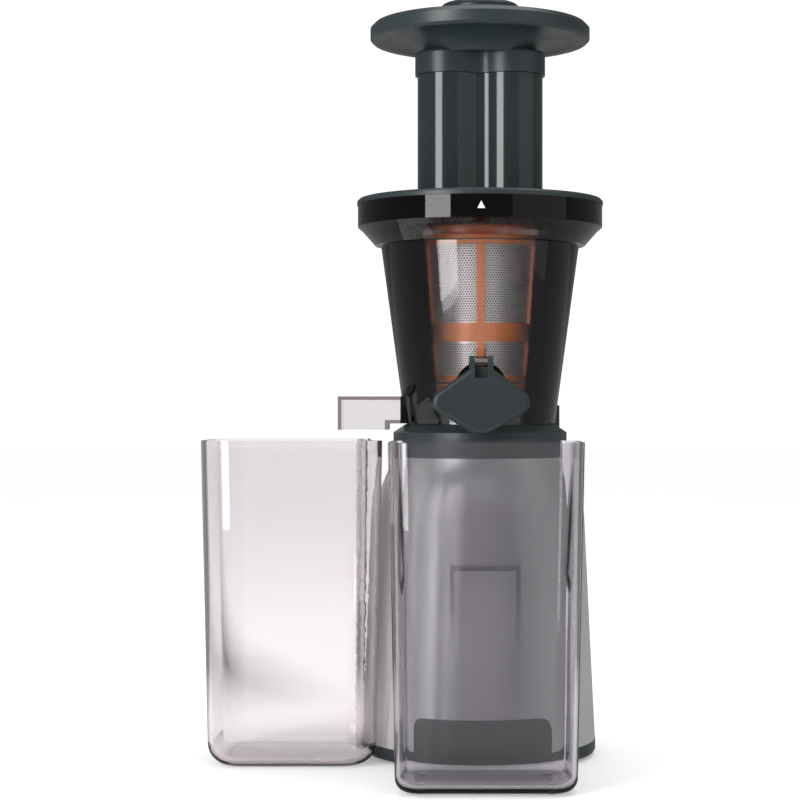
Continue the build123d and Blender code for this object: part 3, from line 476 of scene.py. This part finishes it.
# Seen through the pieces the sky is bright along the axes and dim between them, which draws the
# dark edges of the clear walls.
def makeSky():
    world = bpy.data.worlds.new("studio")
    bpy.context.scene.world = world
    world.use_nodes = True
    tree = world.node_tree
    background = tree.nodes["Background"]
    background.inputs["Color"].default_value = (1, 1, 1, 1)
    ray = addNode(tree, "ShaderNodeLightPath").outputs
    direction = addNode(tree, "ShaderNodeTexCoord").outputs["Generated"]
    nearness, _ = axisNearness(tree, direction)
    through = remap(tree, nearness, *sky["lobe"], sky["dim"], sky["white"])
    strength = mixValues(tree, ray["Is Diffuse Ray"], sky["mirrored"], sky["matt"])
    strength = mixValues(tree, ray["Is Transmission Ray"], strength, through)
    strength = mixValues(tree, ray["Is Camera Ray"], strength, sky["white"])
    feed(tree, background.inputs["Strength"], strength)


# pattern and glowReach are distances from the upright axis: the painted shade that copies the sky's
# pattern comes in over the first, and the floor's own glow rises over the second. mirrored is the
# share of the floor's colour and glow that mirrors see, a painted shade on the floor's reflection.
floorLook = dict(halfSize=8.0, mirrored=0.3, pattern=(0.2, 0.45),
                 glowReach=(0.15, 0.9), glow=(0.28, 0.36),
                 cloudSize=0.4, tints=((0.86, 0.86, 0.86), (0.9, 0.9, 0.9)),
                 roughness=0.9, specular=0.1)


# Painted shade on the floor: seen through the clear pieces its colour and glow are darkened between
# the axes, following the sky's pattern, which paints the dark edges of the clear walls; in mirrors
# they are darkened to a weak share, so that the front of the clear walls stays free of haze.
def makeFloor():
    reach = floorLook["halfSize"]
    corners = [(-reach, -reach, 0), (reach, -reach, 0), (reach, reach, 0), (-reach, reach, 0)]
    mesh = bpy.data.meshes.new("floor")
    mesh.from_pydata(corners, [], [(0, 1, 2, 3)])
    floor = bpy.data.objects.new("floor", mesh)
    bpy.context.scene.collection.objects.link(floor)
    material, tree, shader, place = startMaterial("paleFloorPaintedShade")
    nearness, away = axisNearness(tree, place)
    # Painted shade: away from the upright axis the floor is darkened between the axes, copying the
    # sky's dim lobes.
    lobe = remap(tree, nearness, *sky["lobe"], sky["dim"], 1.0)
    paintedShadeWeight = remap(tree, away, *floorLook["pattern"], 0.0, 1.0)
    lobe = mixValues(tree, paintedShadeWeight, 1.0, lobe)
    ray = addNode(tree, "ShaderNodeLightPath").outputs
    # Painted shade: the clear pieces see the dark pattern, and mirrors see the floor dimmed to the
    # weak share.
    paintedShade = mixValues(tree, ray["Is Transmission Ray"], floorLook["mirrored"], lobe)
    paintedShade = mixValues(tree, ray["Is Diffuse Ray"], paintedShade, 1.0)
    paintedShade = mixValues(tree, ray["Is Camera Ray"], paintedShade, 1.0)
    tint = mixColors(tree, addNoise(tree, place, floorLook["cloudSize"]), *floorLook["tints"])
    # The floor's colour carries this painted shade, darkened towards black.
    feed(tree, shader.inputs["Base Color"], mixColors(tree, paintedShade, (0, 0, 0), tint))
    shader.inputs["Roughness"].default_value = floorLook["roughness"]
    shader.inputs["Specular IOR Level"].default_value = floorLook["specular"]
    shader.inputs["Emission Color"].default_value = (1, 1, 1, 1)
    glow = remap(tree, away, *floorLook["glowReach"], *floorLook["glow"])
    # The floor's glow carries the same painted shade.
    feed(tree, shader.inputs["Emission Strength"], addMath(tree, "MULTIPLY", glow, paintedShade))
    mesh.materials.append(material)


makeSky()
makeFloor()
print("sky and floor made")


# Soft lamps: where each stands, what it points at, its size in metres and its power in watts.
lamps = {
    "keyLeft": dict(place=(-0.82, -1.01, 0.42), target=(0, 0, 0.25), size=(0.55, 1.2), power=14),
    "fillRight": dict(place=(1.4, -0.9, 0.6), target=(0, 0, 0.2), size=(1.8, 1.8), power=3),
    "topSoft": dict(place=(0.1, 0.1, 1.4), target=(0, 0, 0.2), size=(1.0, 1.0), power=6),
}


def makeLamp(name, lamp):
    data = bpy.data.lights.new(name, "AREA")
    data.shape = "RECTANGLE"
    data.size, data.size_y = lamp["size"]
    data.energy = lamp["power"]
    light = bpy.data.objects.new(name, data)
    light.location = lamp["place"]
    toTarget = Vector(lamp["target"]) - light.location
    light.rotation_euler = toTarget.to_track_quat("-Z", "Y").to_euler()
    bpy.context.scene.collection.objects.link(light)


for name, lamp in lamps.items():
    makeLamp(name, lamp)
bpy.context.scene.view_settings.view_transform = "Standard"
print("lamps placed:", len(lamps))
